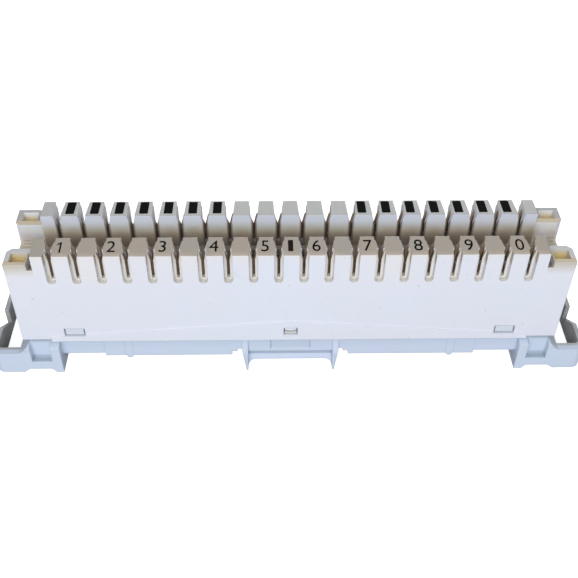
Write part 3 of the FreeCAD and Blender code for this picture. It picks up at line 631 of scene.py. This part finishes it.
def base_plastic():
    """Pale blue-grey plastic, with painted shade inside the wire guides and lighter where it shows in
    the windows.
    """
    plastic = Plastic("base_moulding")
    clouds = mottle(plastic.place, 70.0, 4.0, 0.35)
    color = mix_colors(clouds, BLUE_GREY, VIOLET_GREY)
    color = fine_marks(plastic, color)
    color = shade_guides(plastic, color)
    color = shade_middle(plastic, color)
    color = shade_rail(plastic, color)
    color = paint_nibs(plastic, color)
    plastic_surface(plastic, color, smoothest=0.34, roughest=0.46)
    return plastic.material


# Contacts and inks.

BRASS = (0.46, 0.35, 0.235)
TARNISHED_BRASS = (0.26, 0.175, 0.11)
BRASS_METALLIC = 0.35
BRASS_ROUGHNESS = (0.5, 0.75)
ROLLING_STRETCH = (900.0, 900.0, 120.0)
INK_SPECULAR = 0.06
INK_ROUGHNESS = (0.85, 0.95)
MOST_WEAR = 0.5


def contact_metal():
    """Spring brass dulled by tarnish, browner in patches."""
    material, tree, shader = new_material("contact_metal_worn")
    place = add_node(tree, "ShaderNodeTexCoord").outputs["Object"]
    tarnish = mottle(place, 420.0, 4.0, 0.35)
    connect(mix_colors(tarnish, BRASS, TARNISHED_BRASS), shader.inputs["Base Color"])
    shader.inputs["Metallic"].default_value = BRASS_METALLIC
    connect(remap(tarnish, 0.0, 1.0, *BRASS_ROUGHNESS), shader.inputs["Roughness"])
    bump(shader, noise(stretched(place, ROLLING_STRETCH), 1.0), 0.15, 0.04)
    return material


def printing_ink(name, fresh, worn):
    """Pad-print, a little worn, so that the plastic greys it in places."""
    material, tree, shader = new_material(name)
    place = add_node(tree, "ShaderNodeTexCoord").outputs["Object"]
    wear = remap(noise(place, 1600.0, 4.0), 0.55, 0.8, 0.0, MOST_WEAR)
    connect(mix_colors(wear, fresh, worn), shader.inputs["Base Color"])
    connect(remap(wear, 0.0, MOST_WEAR, *INK_ROUGHNESS), shader.inputs["Roughness"])
    shader.inputs["Specular IOR Level"].default_value = INK_SPECULAR
    bump(shader, noise(place, 1200.0, 2.0), 0.1, 0.02)
    return material


def dress_nodes():
    housing = housing_plastic()
    base = base_plastic()
    metal = contact_metal()
    for name, node in nodes.items():
        material = metal
        if name == "terminal_block":
            material = housing
        elif name == "base":
            material = base
        for slot in node.material_slots:
            slot.material = material


# Prints on the tooth tops. Sizes are in millimetres, and along goes from 0 to 1 over a label's depth.

INK = printing_ink("printed_black", (0.003, 0.003, 0.003), (0.03, 0.03, 0.03))
BAR_INK = printing_ink("printed_brown", (0.022, 0.010, 0.010), (0.07, 0.04, 0.035))
PRINT_LIFT = 0.012
PRINT_THICKNESS = 0.02
FRONT_ROW = -1
REAR_ROW = 1
DIGIT_SIZE = 4.4
DIGIT_WIDTH_SCALE = 0.88
DIGIT_ALONG = 0.49
DIGIT_SPREAD = 1.004
DIGIT_SHIFT = -0.15
DIGITS = {3: "2", 5: "3", 7: "4", 9: "5", 11: "6", 13: "7", 15: "8", 17: "9", 19: "0"}
ONE_TOOTH = 1
ONE_OUTLINE = (
    (0.02, -1.45), (0.34, -1.45), (0.34, 1.45), (0.08, 1.45),
    (-0.52, 0.98), (-0.52, 0.62), (0.02, 0.95),
)
BAR_TOOTH = 10
BAR_SHIFT = -0.18
BAR_WIDTH = 1.0
BAR_LENGTH = 3.1
BAR_ALONG = 0.53
SQUARE_WIDTH = 1.78
SQUARE_LENGTH = 4.15
SQUARE_ALONG = 0.55
SQUARE_TEETH = {tooth: 0.0 for tooth in range(1, 8)} | {tooth: -0.32 for tooth in range(13, 20)}
CORNER_SHARE = 0.12
CORNER_STEPS = 4


def tooth_x(tooth):
    return FIRST_TOOTH_X + PITCH * tooth


def digit_x(tooth):
    return tooth_x(tooth) * DIGIT_SPREAD + DIGIT_SHIFT


def label_matrix(x, row_side, along):
    """Frame on a tooth's top: x to the right, y up the label to the rear, z out of it."""
    front = -HOUSING_HALF_DEPTH if row_side == FRONT_ROW else CHANNEL_HALF
    slope = -row_side * LABEL_RISE / ROW_DEPTH
    level = TOOTH_TOP + LABEL_RISE * (along if row_side == FRONT_ROW else 1 - along)
    place = Vector((x, front + ROW_DEPTH * along, level)) * MM
    return Matrix.Translation(place) @ Matrix.Rotation(math.atan(slope), 4, "X")


def place_print(mesh, name, x, row_side, along, stretch=Matrix.Identity(4), ink=INK):
    piece = bpy.data.objects.new(name, mesh)
    bpy.context.scene.collection.objects.link(piece)
    lift = Matrix.Translation((0, 0, PRINT_LIFT * MM))
    piece.matrix_world = label_matrix(x, row_side, along) @ lift @ stretch
    piece.data.materials.clear()
    piece.data.materials.append(ink)
    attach(piece, "root")


def printed_digit(text, tooth):
    """A number on a tooth of the front row, as a thin closed print."""
    curve = bpy.data.curves.new(f"print_{text}", "FONT")
    curve.body = text
    curve.align_x = "CENTER"
    curve.align_y = "CENTER"
    curve.size = DIGIT_SIZE * MM
    curve.extrude = PRINT_THICKNESS * MM / 2
    curve.resolution_u = 4
    shaped = bpy.data.objects.new(f"curve_{text}", curve)
    bpy.context.scene.collection.objects.link(shaped)
    bpy.context.view_layer.update()
    mesh = bpy.data.meshes.new_from_object(shaped)
    bpy.data.objects.remove(shaped)
    stretch = Matrix.Diagonal((DIGIT_WIDTH_SCALE, 1.0, 1.0, 1.0))
    place_print(mesh, f"printed_number_{text}", digit_x(tooth), FRONT_ROW, DIGIT_ALONG, stretch)


def printed_shape(name, outline, x, row_side, along, ink=INK):
    """A thin closed print with the given outline."""
    count = len(outline)
    half = PRINT_THICKNESS / 2
    vertices = [(px * MM, py * MM, level * MM) for level in (-half, half) for px, py in outline]
    faces = [tuple(reversed(range(count))), tuple(range(count, 2 * count))]
    for i in range(count):
        following = (i + 1) % count
        faces.append((i, following, count + following, count + i))
    mesh = bpy.data.meshes.new(name)
    mesh.from_pydata(vertices, [], faces)
    place_print(mesh, name, x, row_side, along, ink=ink)


def block_outline(width, height):
    """A rectangle with slightly rounded corners."""
    corner = min(width, height) * CORNER_SHARE
    outline = []
    for quarter, (sx, sy) in enumerate(((1, 1), (-1, 1), (-1, -1), (1, -1))):
        for step in range(CORNER_STEPS + 1):
            angle = math.radians(90 * quarter + 90 * step / CORNER_STEPS)
            outline.append((
                sx * (width / 2 - corner) + corner * math.cos(angle),
                sy * (height / 2 - corner) + corner * math.sin(angle),
            ))
    return outline


def print_marks():
    for tooth, text in DIGITS.items():
        printed_digit(text, tooth)
    printed_shape("printed_number_1", ONE_OUTLINE, digit_x(ONE_TOOTH), FRONT_ROW, DIGIT_ALONG)
    bar = block_outline(BAR_WIDTH, BAR_LENGTH)
    printed_shape("printed_bar", bar, tooth_x(BAR_TOOTH) + BAR_SHIFT, FRONT_ROW, BAR_ALONG, BAR_INK)
    square = block_outline(SQUARE_WIDTH, SQUARE_LENGTH)
    for tooth, shift in SQUARE_TEETH.items():
        name = f"printed_square_{tooth:02d}"
        printed_shape(name, square, tooth_x(tooth) + shift, REAR_ROW, SQUARE_ALONG)


# Camera, lights and floor. Places and sizes are in millimetres.

SOFTBOX_SIZE = (520, 320)
SOFTBOX_AIM = (0, 0, 15)
FRONT_SOFTBOX_PLACE = (-50, -455, 300)
FRONT_SOFTBOX_POWER = 2.52
FRONT_SOFTBOX_COLOR = (0.95, 0.97, 1.0)
BACK_SOFTBOX_PLACE = (60, 480, 130)
BACK_SOFTBOX_POWER = 1.7
BACK_SOFTBOX_COLOR = (0.98, 0.98, 1.0)
ROOM_COLOR = (0.94, 0.96, 1.0, 1.0)
ROOM_STRENGTH = 0.3
FLOOR_HALF = 3000.0
FLOOR_LEVEL = -0.02
FLOOR_CORNERS = ((-1, -1), (1, -1), (1, 1), (-1, 1))
FLOOR_BOUNCE = (0.55, 0.55, 0.55, 1.0)
FLOOR_SEEN = (0.8, 0.8, 0.8, 1.0)
FLOOR_GLOW = 0.8


def set_camera():
    data = bpy.data.cameras.new("photo_camera")
    data.lens = LENS
    data.sensor_width = SENSOR
    data.clip_start = CLIP_START * MM
    camera = bpy.data.objects.new("photo_camera", data)
    bpy.context.scene.collection.objects.link(camera)
    turn = Matrix.Rotation(math.radians(CAMERA_YAW), 4, "Z")
    tilt = Matrix.Rotation(math.radians(90 - CAMERA_PITCH), 4, "X")
    roll = Matrix.Rotation(math.radians(CAMERA_ROLL), 4, "Z")
    camera.matrix_world = Matrix.Translation(Vector(CAMERA_PLACE) * MM) @ turn @ tilt @ roll
    bpy.context.scene.camera = camera


def softbox(name, place_mm, power, color):
    data = bpy.data.lights.new(name, "AREA")
    data.shape = "RECTANGLE"
    data.size = SOFTBOX_SIZE[0] * MM
    data.size_y = SOFTBOX_SIZE[1] * MM
    data.energy = power
    data.color = color
    lamp = bpy.data.objects.new(name, data)
    bpy.context.scene.collection.objects.link(lamp)
    place = Vector(place_mm) * MM
    aim = Vector(SOFTBOX_AIM) * MM
    lamp.rotation_euler = (aim - place).to_track_quat("-Z", "Y").to_euler()
    lamp.location = place


def camera_sees(shader, other, output):
    """Show a shader to the camera, and another to every other ray."""
    tree = shader.id_data
    path = add_node(tree, "ShaderNodeLightPath")
    mixer = add_node(tree, "ShaderNodeMixShader")
    connect(path.outputs["Is Camera Ray"], mixer.inputs[SHADER_FACTOR])
    connect(other, mixer.inputs[SHADER_FIRST])
    connect(shader, mixer.inputs[SHADER_SECOND])
    connect(mixer.outputs["Shader"], output.inputs["Surface"])


def fill_room():
    """A dim even light from all around, which the camera sees as white."""
    world = bpy.data.worlds.new("studio")
    world.use_nodes = True
    bpy.context.scene.world = world
    tree = world.node_tree
    light = tree.nodes["Background"]
    light.inputs["Color"].default_value = ROOM_COLOR
    light.inputs["Strength"].default_value = ROOM_STRENGTH
    seen = add_node(tree, "ShaderNodeBackground", Color=WHITE, Strength=1.0)
    camera_sees(seen.outputs["Background"], light.outputs["Background"], tree.nodes["World Output"])


def light_scene():
    softbox("front_softbox", FRONT_SOFTBOX_PLACE, FRONT_SOFTBOX_POWER, FRONT_SOFTBOX_COLOR)
    softbox("back_softbox", BACK_SOFTBOX_PLACE, BACK_SOFTBOX_POWER, BACK_SOFTBOX_COLOR)
    fill_room()


def floor_material():
    """Pale to the camera, with a glow that keeps it near white but leaves the shadow."""
    material, tree, shader = new_material("pale_floor")
    tree.nodes.remove(shader)
    dull = add_node(tree, "ShaderNodeBsdfDiffuse", Color=FLOOR_BOUNCE)
    pale = add_node(tree, "ShaderNodeBsdfDiffuse", Color=FLOOR_SEEN)
    glow = add_node(tree, "ShaderNodeEmission", Color=WHITE, Strength=FLOOR_GLOW)
    both = add_node(tree, "ShaderNodeAddShader")
    connect(pale.outputs["BSDF"], both.inputs[0])
    connect(glow.outputs["Emission"], both.inputs[1])
    camera_sees(both.outputs["Shader"], dull.outputs["BSDF"], tree.nodes["Material Output"])
    return material


def lay_floor():
    mesh = bpy.data.meshes.new("floor")
    corners = [
        (sx * FLOOR_HALF * MM, sy * FLOOR_HALF * MM, FLOOR_LEVEL * MM) for sx, sy in FLOOR_CORNERS]
    mesh.from_pydata(corners, [], [(0, 1, 2, 3)])
    floor = bpy.data.objects.new("floor", mesh)
    bpy.context.scene.collection.objects.link(floor)
    mesh.materials.append(floor_material())


bpy.context.scene.view_settings.view_transform = "Standard"
dress_nodes()
print_marks()
set_camera()
light_scene()
lay_floor()
